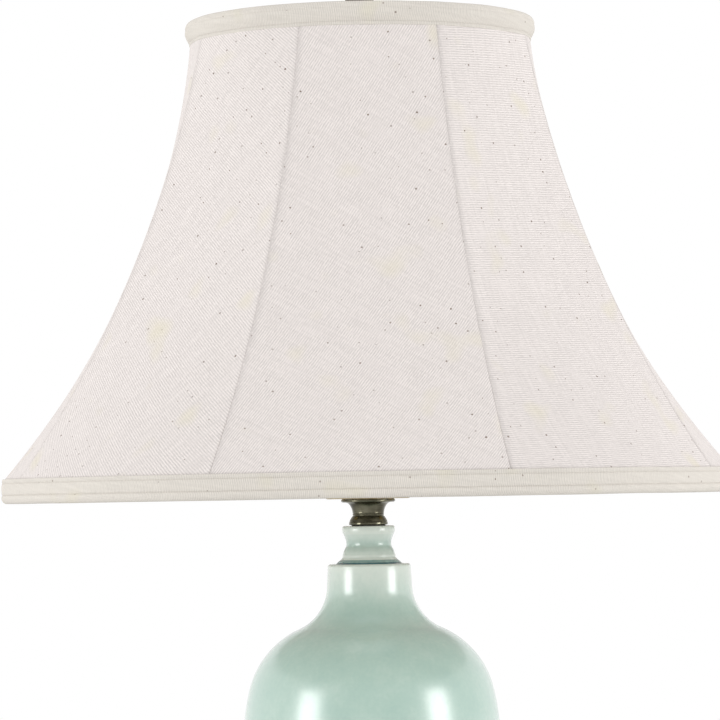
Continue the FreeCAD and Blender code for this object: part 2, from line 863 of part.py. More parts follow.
def make_panel(first, last, inset, thickness):
    """Thin solid of one panel or gore: two smooth faces joined by ruled edges."""
    outer = cloth_face(first, last, inset)
    inner = cloth_face(first, last, inset + thickness)
    faces = [outer.toShape(), inner.toShape()]
    for pick in ("u0", "u1", "v0", "v1"):
        rails = []
        for surface in (outer, inner):
            low_u, high_u, low_v, high_v = surface.bounds()
            if pick == "u0":
                rails.append(surface.uIso(low_u).toShape())
            if pick == "u1":
                rails.append(surface.uIso(high_u).toShape())
            if pick == "v0":
                rails.append(surface.vIso(low_v).toShape())
            if pick == "v1":
                rails.append(surface.vIso(high_v).toShape())
        faces.append(Part.makeRuledSurface(rails[0], rails[1]))
    shell = Part.makeShell(faces)
    shell.sewShape()
    solid = Part.makeSolid(shell)
    if solid.Volume < 0:
        solid.reverse()
    return solid


def make_top_ring():
    return Part.makeTorus(top_ring_spread, top_ring_radius, FreeCAD.Vector(0, 0, top_ring_level))


def make_bottom_ring():
    return Part.makeTorus(bottom_ring_spread, bottom_ring_radius, FreeCAD.Vector(0, 0, bottom_ring_level))


def make_rib(top_ring, bottom_ring):
    """Rib under a seam: a long arc with a short foot that meets the bottom ring."""
    places = [around(*on_seam(share, rib_inset)) for share in (0.0, 0.5, 1.0)]
    curve = Part.Arc(*places)
    start_heading = curve.tangent(curve.FirstParameter)[0]
    rib = swept(Part.Wire(curve.toShape()), rib_radius, places[0], start_heading)
    bearing = on_seam(1.0, rib_inset)[1]
    reach = around(bottom_ring_spread, bearing, bottom_ring_level) - places[2]
    rib = rib.fuse(Part.makeSphere(rib_radius + rib_bead, places[2]))
    rib = rib.fuse(Part.makeCylinder(rib_radius, reach.Length, places[2], reach))
    return rib.cut(top_ring).cut(bottom_ring)


def largest_solid(shape):
    return max(shape.Solids, key=lambda solid: solid.Volume)


def make_arms(radius):
    """Spider arms of a given wire radius: flush with the washer's top, then rising to the top ring."""
    middle = spider_arm_level
    bend = 14.0
    rise = FreeCAD.Vector(top_ring_spread - spider_flat, 0, top_ring_level - middle)
    slope = math.atan2(rise.z, rise.x)
    setback = bend * math.tan(slope / 2)
    elbow = FreeCAD.Vector(spider_flat, 0, middle)
    before = elbow - FreeCAD.Vector(setback, 0, 0)
    after = elbow + FreeCAD.Vector(math.cos(slope), 0, math.sin(slope)) * setback
    halfway = before + FreeCAD.Vector(math.sin(slope / 2), 0, 1 - math.cos(slope / 2)) * bend
    inner_end = FreeCAD.Vector(spider_washer_radius - 2.0, 0, middle)
    path = Part.Wire([
        Part.makeLine(inner_end, before),
        Part.Arc(before, halfway, after).toShape(),
        Part.makeLine(after, FreeCAD.Vector(top_ring_spread, 0, top_ring_level)),
    ])
    arm = swept(path, radius, inner_end, x_axis)
    bearing = on_seam(0.0, 0.0)[1] - 90
    return [rotated(arm, bearing + 360.0 / spider_arms * number) for number in range(spider_arms)]


def make_spider(top_ring):
    """Washer on the harp's seat with its arms welded to the top ring."""
    spider = ring(spider_washer_radius, stud_radius + running_gap, harp_seat, spider_top)
    for arm in make_arms(spider_wire_radius):
        spider = spider.fuse(arm)
    keep_clear = rod(hub_radius + free_gap, harp_seat - hub_height, harp_seat)
    return largest_solid(spider.cut(top_ring).cut(keep_clear))


# ---------------------------------------------------------------- trims and finial


def make_top_trim():
    """Folded band over the top ring, its inner leg notched around the spider's arms."""
    outer = seam_top_radius + 2.8
    inner = top_ring_spread - top_ring_radius - trim_thickness - 0.3
    middle = (outer + inner) / 2
    trim = turned(
        (outer, shade_top - top_trim_height),
        (outer, shade_top - 2.6),
        ((middle, shade_top), (inner, shade_top - 2.6)),
        (inner, shade_top - top_trim_height * 0.8),
        (inner + trim_thickness, shade_top - top_trim_height * 0.8),
        (inner + trim_thickness, shade_top - 3.0),
        ((middle, shade_top - trim_thickness), (outer - trim_thickness, shade_top - 3.0)),
        (outer - trim_thickness, shade_top - top_trim_height),
    )
    for arm in make_arms(spider_wire_radius + slip_gap):
        trim = trim.cut(arm)
    return largest_solid(trim)


def make_bottom_trim():
    """Folded band around the bottom ring, with its roll at the lower edge."""
    outer = seam_bottom_radius + trim_gap + 1.1
    inner = bottom_ring_spread - bottom_ring_radius - 2 * trim_thickness
    middle = (outer + inner) / 2
    return turned(
        (outer - trim_thickness, shade_bottom + bottom_trim_height),
        (outer - trim_thickness, shade_bottom + 3.0),
        ((middle, shade_bottom + trim_thickness), (inner + trim_thickness, shade_bottom + 3.0)),
        (inner + trim_thickness, shade_bottom + bottom_trim_height * 0.7),
        (inner, shade_bottom + bottom_trim_height * 0.7),
        (inner, shade_bottom + 2.6),
        ((middle, shade_bottom), (outer, shade_bottom + 2.6)),
        (outer, shade_bottom + bottom_trim_height),
    )


def make_finial():
    """Turned finial screwed on the stud: foot, stem, ring, ball and tip."""
    low = spider_top + finial_gap
    depth = stud_height - spider_thickness + 1.5
    tall = finial_height - finial_gap
    tip = 4.0
    tip_centre = (0, low + tall - tip)
    return turned(
        (stud_radius + running_gap, low),
        (8.0, low),
        ((8.5, low + 1.0), (8.0, low + 2.0)),
        ((5.2, low + 3.6), (4.6, low + 7.0)),
        (4.9, low + depth),
        ((6.4, low + depth + 1.4), (4.9, low + depth + 2.8)),
        ((3.6, low + 0.36 * tall), (4.2, low + 0.44 * tall)),
        ((10.0, low + 0.62 * tall), (4.4, low + 0.81 * tall)),
        (3.2, low + 0.86 * tall),
        on_arc(tip_centre, tip, -30),
        (on_arc(tip_centre, tip, 30), on_arc(tip_centre, tip, 90)),
        (0, low + depth),
        (stud_radius + running_gap, low + depth),
    )


# ---------------------------------------------------------------- build and export


def make_nodes():
    nodes = {
        "felt_pad": make_felt_pad(),
        "base": make_base(),
        "outlet_bushing": make_outlet_bushing(),
        "base_washer": make_base_washer(),
        "lock_washer": make_lock_washer(),
        "pipe_nut": make_pipe_nut(),
        "lamp_pipe": make_lamp_pipe(),
        "base_gasket": make_base_gasket(),
        "jar_body": make_jar(),
        "neck_seat": make_neck_seat(),
        "brass_neck": make_brass_neck(),
        "harp_saddle": make_saddle(),
        "harp_wire": make_harp_wire(),
        "harp_stud": make_harp_stud(),
        "harp_sleeve_left": make_sleeve(-1),
        "harp_sleeve_right": make_sleeve(1),
        "socket_cap": make_socket_cap(),
        "socket_set_screw": make_set_screw(),
        "socket_shell": make_socket_shell(),
        "socket_liner": make_socket_liner(),
        "socket_block": make_socket_block(),
        "terminal_screws": make_terminal_screws(),
        "screw_shell": make_screw_shell(),
        "centre_contact": make_centre_contact(),
        "switch_knob": make_switch_knob(),
        "bulb_contact": make_bulb_contact(),
        "bulb_cap": make_bulb_cap(),
        "bulb_glass": make_bulb_glass(),
        "shade_top_ring": make_top_ring(),
        "shade_bottom_ring": make_bottom_ring(),
        "shade_top_trim": make_top_trim(),
        "shade_bottom_trim": make_bottom_trim(),
        "finial": make_finial(),
    }
    nodes["shade_spider"] = make_spider(nodes["shade_top_ring"])
    rib = largest_solid(make_rib(nodes["shade_top_ring"], nodes["shade_bottom_ring"]))
    panel = make_panel(0.0, 1.0, 0.0, cover_thickness)
    gore_lining = make_panel(0.035, 0.98, lining_inset, lining_thickness)
    for number in range(panel_count):
        nodes["shade_rib_%d" % (number + 1)] = rotated(rib, gore * number)
        nodes["shade_panel_%d" % (number + 1)] = rotated(panel, gore * number)
    gores = [rotated(gore_lining, gore * number) for number in range(panel_count)]
    nodes["shade_lining"] = Part.Compound(gores)
    return nodes


os.makedirs("parts", exist_ok=True)
for name, shape in make_nodes().items():
    shape.exportStep("parts/%s.step" % name)
    bounds = shape.BoundBox
    print("%-20s valid %s solids %d volume %9.1f z %.1f to %.1f" % (
        name, shape.isValid(), len(shape.Solids), shape.Volume, bounds.ZMin, bounds.ZMax))
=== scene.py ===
import bpy
import json
import math
from mathutils import Matrix, Vector, noise


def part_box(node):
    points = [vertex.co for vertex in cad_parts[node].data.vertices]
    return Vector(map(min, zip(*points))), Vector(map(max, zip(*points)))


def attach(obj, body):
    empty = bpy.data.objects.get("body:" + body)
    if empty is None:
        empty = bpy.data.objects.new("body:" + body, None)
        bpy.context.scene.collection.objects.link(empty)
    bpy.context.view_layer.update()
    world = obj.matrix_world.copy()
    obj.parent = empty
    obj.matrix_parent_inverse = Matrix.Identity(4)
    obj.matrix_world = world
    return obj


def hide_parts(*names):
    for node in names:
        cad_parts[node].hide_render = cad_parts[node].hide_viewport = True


# Ginger jar lamp in metres, +Z up, front towards -Y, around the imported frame.

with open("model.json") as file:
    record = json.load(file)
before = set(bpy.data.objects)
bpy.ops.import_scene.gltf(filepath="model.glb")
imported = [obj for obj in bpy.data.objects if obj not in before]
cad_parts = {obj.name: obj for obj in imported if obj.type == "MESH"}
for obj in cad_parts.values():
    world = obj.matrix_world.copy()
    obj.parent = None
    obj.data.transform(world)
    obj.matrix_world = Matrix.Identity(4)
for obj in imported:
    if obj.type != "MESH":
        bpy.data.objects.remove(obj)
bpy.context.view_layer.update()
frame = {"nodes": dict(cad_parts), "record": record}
nodes = frame["nodes"]
MM = 0.001

# ---------------------------------------------------------------- places read from the frame

jar_low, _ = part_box("jar_body")
neck_low, neck_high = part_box("brass_neck")
_, top_trim_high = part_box("shade_top_trim")
bottom_trim_low, bottom_trim_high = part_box("shade_bottom_trim")
panel_low, panel_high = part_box("shade_panel_1")
_, felt_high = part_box("felt_pad")

JAR_BOTTOM = jar_low[2]
SHADE_TOP = top_trim_high[2]
SHADE_BOTTOM = bottom_trim_low[2]
TOP_TRIM_RADIUS = top_trim_high[0]
BOTTOM_TRIM_RADIUS = bottom_trim_high[0]

# ---------------------------------------------------------------- sizes of the shade's cloth

PANELS = 8
GORE = 360.0 / PANELS
SEAM_ANGLES = (-19.6, -21.7, -23.7)     # degrees of the first seam at top, waist and bottom
SEAM_TOP_RADIUS = 107.0 * MM
SEAM_WAIST_RADIUS = 150.75 * MM
SEAM_BOTTOM_RADIUS = 226.9 * MM
SEAM_WAIST_DROP = 148.8 * MM            # below the shade's top edge
SEAM_TOP = panel_high[2]
SEAM_BOTTOM = panel_low[2]
SEAM_WAIST = SHADE_TOP - SEAM_WAIST_DROP
FLATTEST = 0.42                         # share of the seam where the panels are flattest
LEAST_ROUND = 0.12
COVER = 0.9 * MM
LINING_INSET = 4.0 * MM
LINING = 0.6 * MM
LINING_TOP = 0.02                       # shares of the seam where the lining starts and ends
LINING_END = 0.985
LINING_GRAIN = 2
GRAINS = (59, 2, 62, -35, 57, -4, 64, -37)      # degrees that each panel's lines climb

# ---------------------------------------------------------------- small helpers


def arc_points(start, via, end, count):
    """Points after start on the arc through three (r, z) points."""
    ax, ay = start
    bx, by = via
    cx, cy = end
    a_square = ax * ax + ay * ay
    b_square = bx * bx + by * by
    c_square = cx * cx + cy * cy
    d = 2 * (ax * (by - cy) + bx * (cy - ay) + cx * (ay - by))
    centre_r = (a_square * (by - cy) + b_square * (cy - ay) + c_square * (ay - by)) / d
    centre_z = (a_square * (cx - bx) + b_square * (ax - cx) + c_square * (bx - ax)) / d
    radius = math.hypot(ax - centre_r, ay - centre_z)
    first = math.atan2(ay - centre_z, ax - centre_r)
    middle = math.atan2(by - centre_z, bx - centre_r)
    last = math.atan2(cy - centre_z, cx - centre_r)
    turn = 2 * math.pi
    forward = (last - first) % turn
    if (middle - first) % turn > forward:
        forward -= turn
    points = []
    for step in range(1, count + 1):
        angle = first + forward * step / count
        points.append((centre_r + radius * math.cos(angle), centre_z + radius * math.sin(angle)))
    return points


def outline(start, *steps, fine=12):
    """(r, z) points along lines, and arcs given as (via, end)."""
    points = [start]
    for step in steps:
        if isinstance(step[0], tuple):
            points += arc_points(points[-1], step[0], step[1], fine)
        else:
            points.append(step)
    return points


def smoothed(points, fine=5):
    """Points along a smooth curve through the given (r, z) points."""
    ends = [points[0]] + list(points) + [points[-1]]
    curve = []
    for number in range(1, len(ends) - 2):
        a, b, c, d = ends[number - 1:number + 3]
        for step in range(fine):
            t = step / fine
            curve.append(tuple(
                0.5 * (2 * b[k] + (c[k] - a[k]) * t
                       + (2 * a[k] - 5 * b[k] + 4 * c[k] - d[k]) * t * t
                       + (3 * b[k] - a[k] - 3 * c[k] + d[k]) * t ** 3)
                for k in range(2)))
    curve.append(points[-1])
    return curve


def scaled(points):
    """Millimetre points as metres."""
    return [(r * MM, z * MM) for r, z in points]


def new_object(name, verts, faces, material, body, smooth=35):
    """Smooth-shaded piece that rides on a body; edges sharper than smooth degrees stay crisp."""
    mesh = bpy.data.meshes.new(name)
    mesh.from_pydata(verts, [], faces)
    mesh.validate()
    mesh.shade_smooth()
    if smooth:
        mesh.set_sharp_from_angle(angle=math.radians(smooth))
    mesh.materials.append(material)
    piece = bpy.data.objects.new(name, mesh)
    bpy.context.scene.collection.objects.link(piece)
    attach(piece, body)
    return piece


def ring_faces(rings, segments):
    """Faces between rings of points, with the last ring joined to the first."""
    faces = []
    for row in range(rings):
        below = row * segments
        above = ((row + 1) % rings) * segments
        for number in range(segments):
            after = (number + 1) % segments
            faces.append((below + number, below + after, above + after, above + number))
    return faces


WOBBLE_SCALE = 22.0     # swells of a turned shape per metre


def lathe(name, points, material, body, segments=160, smooth=35, wobble=0.0, tone=None):
    """Closed turned shape from (r, z) points, walked with the solid on the left.

    tone(r, z) fills the attribute that the glaze reads."""
    verts = []
    for r, z in points:
        for number in range(segments):
            angle = 2 * math.pi * number / segments
            place = Vector((r * math.cos(angle), r * math.sin(angle), z))
            if wobble:
                swell = noise.noise(place * WOBBLE_SCALE) * wobble
                place.x += swell * math.cos(angle)
                place.y += swell * math.sin(angle)
            verts.append(place)
    faces = ring_faces(len(points), segments)
    piece = new_object(name, verts, faces, material, body, smooth)
    if tone:
        attribute = piece.data.attributes.new("tone", "FLOAT", "POINT")
        for row, (r, z) in enumerate(points):
            value = tone(r, z)
            for number in range(segments):
                attribute.data[row * segments + number].value = value
    return piece


# ---------------------------------------------------------------- material nodes


class Maker:
    """Short calls for building one material's nodes."""

    def __init__(self, name, color, roughness, metallic=0.0):
        self.material = bpy.data.materials.new(name)
        self.material.use_nodes = True
        self.tree = self.material.node_tree
        self.shader = self.tree.nodes["Principled BSDF"]
        self.shader.inputs["Base Color"].default_value = (*color, 1)
        self.shader.inputs["Roughness"].default_value = roughness
        self.shader.inputs["Metallic"].default_value = metallic

    def node(self, kind, **values):
        made = self.tree.nodes.new(kind)
        for key, value in values.items():
            setattr(made, key, value)
        return made

    def link(self, source, target):
        self.tree.links.new(source, target)

    def place(self, kind="Object"):
        return self.node("ShaderNodeTexCoord").outputs[kind]

    def mapped(self, source, scale):
        mapping = self.node("ShaderNodeMapping")
        mapping.inputs["Scale"].default_value = scale
        self.link(source, mapping.inputs["Vector"])
        return mapping.outputs["Vector"]

    def noise(self, source, scale, detail=2.0, roughness=0.5):
        made = self.node("ShaderNodeTexNoise")
        made.inputs["Scale"].default_value = scale
        made.inputs["Detail"].default_value = detail
        made.inputs["Roughness"].default_value = roughness
        self.link(source, made.inputs["Vector"])
        return made.outputs["Fac"]

    def bands(self, source, period, direction, distortion=0.0, detail_scale=1.0):
        """Sine bands of a real period along X or Y of the given coordinates."""
        made = self.node("ShaderNodeTexWave", wave_type="BANDS", bands_direction=direction,
                         wave_profile="SIN")
        made.inputs["Scale"].default_value = math.pi / 10 / period
        made.inputs["Distortion"].default_value = distortion
        made.inputs["Detail"].default_value = 2.0
        made.inputs["Detail Scale"].default_value = detail_scale
        self.link(source, made.inputs["Vector"])
        return made.outputs["Fac"]

    def math(self, operation, first, second=None, third=None):
        made = self.node("ShaderNodeMath", operation=operation)
        for number, value in enumerate((first, second, third)):
            if value is None:
                continue
            if isinstance(value, (int, float)):
                made.inputs[number].default_value = value
            else:
                self.link(value, made.inputs[number])
        return made.outputs["Value"]

    def ramp(self, source, stops):
        """Colour ramp from (place, colour) stops."""
        made = self.node("ShaderNodeValToRGB")
        ramp = made.color_ramp
        while len(ramp.elements) < len(stops):
            ramp.elements.new(0.5)
        for element, (place, color) in zip(ramp.elements, stops):
            element.position = place
            element.color = (*color, 1)
        self.link(source, made.inputs["Fac"])
        return made.outputs["Color"]

    def mix(self, share, first, second):
        made = self.node("ShaderNodeMix", data_type="RGBA")
        for number, value in ((0, share), (6, first), (7, second)):
            if isinstance(value, (int, float)):
                made.inputs[number].default_value = value
            elif isinstance(value, tuple):
                made.inputs[number].default_value = (*value, 1)
            else:
                self.link(value, made.inputs[number])
        return made.outputs[2]

    def bump(self, height, distance, strength=1.0):
        made = self.node("ShaderNodeBump")
        made.inputs["Strength"].default_value = strength
        made.inputs["Distance"].default_value = distance
        self.link(height, made.inputs["Height"])
        self.link(made.outputs["Normal"], self.shader.inputs["Normal"])

    def set(self, socket, value):
        self.shader.inputs[socket].default_value = value

    def color(self, source):
        self.link(source, self.shader.inputs["Base Color"])

    def roughness(self, source):
        self.link(source, self.shader.inputs["Roughness"])


def darker(color, share):
    return tuple(channel * share for channel in color)


def lighter(color, share):
    return tuple(min(1.0, channel * share) for channel in color)


CROSS_PERIOD = 0.62 * MM            # cross threads
DASH_CELLS = (800.0, 330.0, 1.0)    # noise cells per metre across and along the weave's lines
SLUB_CELLS = (45.0, 620.0, 1.0)
STITCH_CELLS = (700.0, 700.0, 1.0)
PATCH_CELLS = 60.0
STAIN_CELLS = 34.0
STAIN_BLUE = 0.80                   # yellowish, as its blue is less
STAIN_STOPS = ((0.62, (0, 0, 0)), (0.80, (0.55, 0.55, 0.55)))
FLECK_CELLS = 120.0
FLECK_SHARE = 0.20                  # share of the cells with a fleck, where fleck_share is 1
FLECK_COLOR = (0.15, 0.105, 0.08)
SEAM_STITCH_AND_SHADOW = 0.80                   # darkness painted along a seam, for its stitch line and the shadow of the rib behind it, and the most of it that shows
SEAM_MOST = 0.8


def make_cloth(name, color, period, contrast, fleck_share, lift):
    """Slubbed woven cloth: broken lines, cross threads, soft stains, small flecks, and seams
    darkened for their stitch lines and the painted shadow of the ribs behind them.
    """
    made = Maker(name, color, 0.9)
    made.set("Specular IOR Level", 0.15)
    weave = made.place("UV")

    lines = made.bands(weave, period, "X", distortion=1.7, detail_scale=0.9)
    cross = made.bands(weave, CROSS_PERIOD, "Y", distortion=0.9, detail_scale=1.2)
    dash = made.noise(made.mapped(weave, DASH_CELLS), 1.0, detail=1.0)
    patch = made.noise(weave, PATCH_CELLS, detail=2.0)
    slub = made.noise(made.mapped(weave, SLUB_CELLS), 1.0, detail=1.0)
    broken = made.math("MULTIPLY", made.math("SUBTRACT", lines, 0.5),
                       made.math("MULTIPLY_ADD", dash, 4.2, -1.2))
    crossed = made.math("MULTIPLY_ADD", made.math("SUBTRACT", cross, 0.5), 0.45, broken)
    weight = made.math("MULTIPLY_ADD", patch, 1.6, -0.05)
    slubbed = made.math("MULTIPLY_ADD", made.math("SUBTRACT", slub, 0.5), 0.5,
                        made.math("MULTIPLY_ADD", crossed, weight, 0.5))
    tone = made.ramp(slubbed, (
        (0.05, darker(color, 1 - 0.30 * contrast)),
        (0.50, color),
        (0.95, lighter(color, 1 + 0.34 * contrast)),
    ))

    stain = made.noise(weave, STAIN_CELLS, detail=1.0)
    stained = made.mix(made.ramp(stain, STAIN_STOPS), tone,
                       (color[0], color[1], color[2] * STAIN_BLUE))

    cells = made.node("ShaderNodeTexVoronoi", feature="F1", voronoi_dimensions="2D")
    cells.inputs["Scale"].default_value = FLECK_CELLS
    made.link(weave, cells.inputs["Vector"])
    size = made.node("ShaderNodeSeparateColor")
    made.link(cells.outputs["Color"], size.inputs["Color"])
    near = made.math("LESS_THAN", cells.outputs["Distance"],
                     made.math("MULTIPLY_ADD", size.outputs["Green"], 0.045, 0.035))
    rare = made.math("GREATER_THAN", size.outputs["Red"], 1 - FLECK_SHARE * fleck_share)
    fleck = made.math("MULTIPLY", made.math("MULTIPLY", near, rare),
                      made.math("MULTIPLY_ADD", size.outputs["Blue"], 0.5, 0.45))

    # Band along each seam darkened for the stitch line and, as painted shade, the shadow of the rib
    # behind the cloth; pressed carries that darkening.
    seam = made.node("ShaderNodeAttribute", attribute_name="seam", attribute_type="GEOMETRY")
    stitch = made.noise(made.mapped(weave, STITCH_CELLS), 1.0, detail=1.0)
    pressed = made.math("MULTIPLY", seam.outputs["Fac"],
                        made.math("MULTIPLY_ADD", stitch, 2.2, -0.45))
    pressed = made.math("MINIMUM", made.math("MAXIMUM", pressed, 0.0), SEAM_MOST)
    seamed_and_shaded = made.mix(pressed, stained, darker(color, SEAM_STITCH_AND_SHADOW))

    made.color(made.mix(fleck, seamed_and_shaded, FLECK_COLOR))
    made.bump(slubbed, lift)
    return made.material


def make_glaze():
    """Celadon glaze: pale where it runs thin over edges, deep where it pools, faintly mottled."""
    made = Maker("celadon_glaze", (0.34, 0.46, 0.40), 0.26)
    made.set("Coat Weight", 1.0)
    made.set("Coat Roughness", 0.24)
    made.set("Coat IOR", 1.5)
    made.set("IOR", 1.5)
    place = made.place()
    tone = made.node("ShaderNodeAttribute", attribute_name="tone", attribute_type="GEOMETRY")
    mottle = made.noise(place, 46.0, detail=4.0, roughness=0.62)
    fine = made.noise(place, 420.0, detail=2.0)
    mixed = made.math("ADD", tone.outputs["Fac"], made.math("MULTIPLY_ADD", mottle, 0.22, -0.11))
    mixed = made.math("ADD", mixed, made.math("MULTIPLY_ADD", fine, 0.10, -0.05))
    made.color(made.ramp(mixed, (
        (0.0, (0.02, 0.10, 0.115)),
        (0.22, (0.24, 0.39, 0.355)),
        (0.50, (0.375, 0.515, 0.45)),
        (0.78, (0.60, 0.68, 0.61)),
        (1.0, (0.72, 0.76, 0.69)),
    )))
    crackle = made.node("ShaderNodeTexVoronoi", feature="DISTANCE_TO_EDGE")
    crackle.inputs["Scale"].default_value = 150.0
    made.link(place, crackle.inputs["Vector"])
    line = made.math("MINIMUM", made.math("MULTIPLY", crackle.outputs["Distance"], 9.0), 1.0)
    relief = made.math("ADD", made.math("MULTIPLY", line, 0.25), made.math("MULTIPLY", mottle, 0.8))
    made.bump(relief, 0.03 * MM)
    return made.material


WEAR_CELLS = 90.0                   # noise cells per metre
TURNING_CELLS = (30.0, 30.0, 2600.0)


def make_metal(name, color, dark, roughness, turned=0.0):
    """Metal with darkened patches and fine marks; turned spreads its highlights along the axis."""
    made = Maker(name, color, roughness, metallic=1.0)
    if turned:
        around_axis = made.node("ShaderNodeTangent", direction_type="RADIAL", axis="Z")
        made.link(around_axis.outputs["Tangent"], made.shader.inputs["Tangent"])
        made.set("Anisotropic", turned)
        made.set("Anisotropic Rotation", 0.25)
    place = made.place()
    patches = made.noise(place, WEAR_CELLS, detail=4.0)
    marks = made.noise(made.mapped(place, TURNING_CELLS), 1.0, detail=1.0)
    wear = made.math("MULTIPLY_ADD", marks, 0.25, made.math("MULTIPLY", patches, 0.75))
    made.color(made.ramp(wear, ((0.30, dark), (0.55, color), (0.80, lighter(color, 1.15)))))
    made.roughness(made.math("MULTIPLY_ADD", patches, 0.22, roughness - 0.10))
    made.bump(marks, 0.006 * MM, 0.6)
    return made.material


def make_plain(name, color, roughness, grain=700.0, lift=0.02 * MM, spread=0.12):
    """Moulded, painted or pressed material with a fine grain, given in cells per metre."""
    made = Maker(name, color, roughness)
    place = made.place()
    speckle = made.noise(place, grain, detail=2.0)
    made.color(made.ramp(speckle, ((0.3, darker(color, 1 - spread)), (0.7, color))))
    made.roughness(made.math("MULTIPLY_ADD", speckle, 0.15, roughness - 0.07))
    made.bump(speckle, lift)
    return made.material


def make_felt():
    made = Maker("felt", (0.055, 0.042, 0.034), 0.98)
    made.set("Sheen Weight", 0.4)
    fibres = made.noise(made.mapped(made.place(), (900.0, 900.0, 900.0)), 1.0, detail=3.0,
                        roughness=0.7)
    made.color(made.ramp(fibres, ((0.3, (0.03, 0.024, 0.02)), (0.7, (0.085, 0.066, 0.052)))))
    made.bump(fibres, 0.25 * MM)
    return made.material


def make_frosted_glass():
    made = Maker("frosted_glass", (0.86, 0.86, 0.84), 0.35)
    made.set("Transmission Weight", 0.25)
    made.set("Coat Weight", 0.3)
    cloud = made.noise(made.place(), 60.0)
    made.color(made.ramp(cloud, ((0.3, (0.82, 0.82, 0.80)), (0.7, (0.90, 0.90, 0.88)))))
    return made.material


COVER_COLOR = (0.622, 0.580, 0.560)
# The trims are the cover's own fabric, painted darker than the cover as the shade that falls on the
# trims.
TRIM_SHADED_COLOR = (0.576, 0.543, 0.497)
LINING_COLOR = (0.74, 0.71, 0.67)
cover_cloth = make_cloth("cover_cloth", COVER_COLOR, period=1.5 * MM, contrast=0.58,
                         fleck_share=1.0, lift=0.05 * MM)
trim_cloth = make_cloth("trim_cloth", TRIM_SHADED_COLOR, period=1.1 * MM, contrast=0.5,
                        fleck_share=0.4, lift=0.05 * MM)
lining_cloth = make_cloth("lining_cloth", LINING_COLOR, period=0.8 * MM, contrast=0.3,
                          fleck_share=0.0, lift=0.04 * MM)
glaze = make_glaze()
antique_brass = make_metal("antique_brass", (0.17, 0.162, 0.115), (0.04, 0.036, 0.024), 0.20,
                           turned=0.6)
bright_brass = make_metal("bright_brass", (0.70, 0.54, 0.24), (0.50, 0.36, 0.14), 0.24)
steel = make_metal("steel", (0.55, 0.55, 0.54), (0.38, 0.38, 0.37), 0.34)
aluminium = make_metal("aluminium", (0.72, 0.72, 0.72), (0.55, 0.55, 0.55), 0.3)
white_wire = make_plain("white_wire", (0.74, 0.71, 0.66), 0.45)
black_plastic = make_plain("black_plastic", (0.02, 0.02, 0.02), 0.38)
dark_rubber = make_plain("dark_rubber", (0.03, 0.03, 0.03), 0.8)
liner_card = make_plain("liner_card", (0.35, 0.27, 0.18), 0.9, grain=300.0)
frosted_glass = make_frosted_glass()
felt = make_felt()

SLOT_MATERIALS = {
    "antique_brass": antique_brass,
    "bright_brass": bright_brass,
    "steel": steel,
    "aluminium": aluminium,
    "white_wire": white_wire,
    "black_plastic": black_plastic,
    "dark_rubber": dark_rubber,
    "liner_card": liner_card,
    "frosted_glass": frosted_glass,
    "felt": felt,
    "celadon_glaze": glaze,
    "cover_cloth": cover_cloth,
    "lining_cloth": lining_cloth,
    "trim_cloth": trim_cloth,
}


def finish_nodes():
    """Gives every CAD node its slot's material."""
    for entry in frame["record"]["subparts"]:
        node = nodes[entry["node"]]
        node.data.materials.clear()
        node.data.materials.append(SLOT_MATERIALS[entry["material_slot"]])


# ---------------------------------------------------------------- jar

# Millimetres, with heights from the jar's own bottom.
JAR_WALL = 5.0
JAR_FLOOR = 6.0             # thickness at the bottom
BELLY_RADIUS = 80.0
BELLY_HEIGHT = 156.0
FOOT_RADIUS = 47.5
FOOT_HEIGHT = 8.0
UPPER_RADIUS = 122.0        # curve of the side above the belly, over this many degrees
UPPER_ANGLE = 14.7
SHOULDER_RADIUS = 55.0      # curve of the shoulder
COLLAR_RADIUS = 26.6
COLLAR_FOOT = 251.0
COLLAR_HEIGHT = 263.7
NECK_HEIGHT = 23.8
JAR_BORE = 8.0
NECK_SIDE = (               # radius and height above the collar: crease, ridge, waist and ring
    (21.2, -0.2), (20.6, 0.2), (19.8, 1.1), (19.0, 1.8), (18.2, 2.4), (17.5, 3.0), (17.0, 3.7),
    (16.65, 4.3), (16.7, 5.0), (16.4, 6.2), (16.0, 7.5), (15.4, 8.8), (14.75, 10.0), (14.3, 10.9),
    (14.12, 12.1), (14.15, 13.4), (14.4, 15.0), (14.85, 16.5), (15.4, 17.8), (15.95, 18.9),
    (16.35, 19.8), (16.5, 20.9), (16.5, 22.2), (16.3, 23.1), (15.8, 23.6), (14.8, 23.8),
)


def on_circle(centre, radius, degrees):
    angle = math.radians(degrees)
    return (centre[0] + radius * math.cos(angle), centre[1] + radius * math.sin(angle))


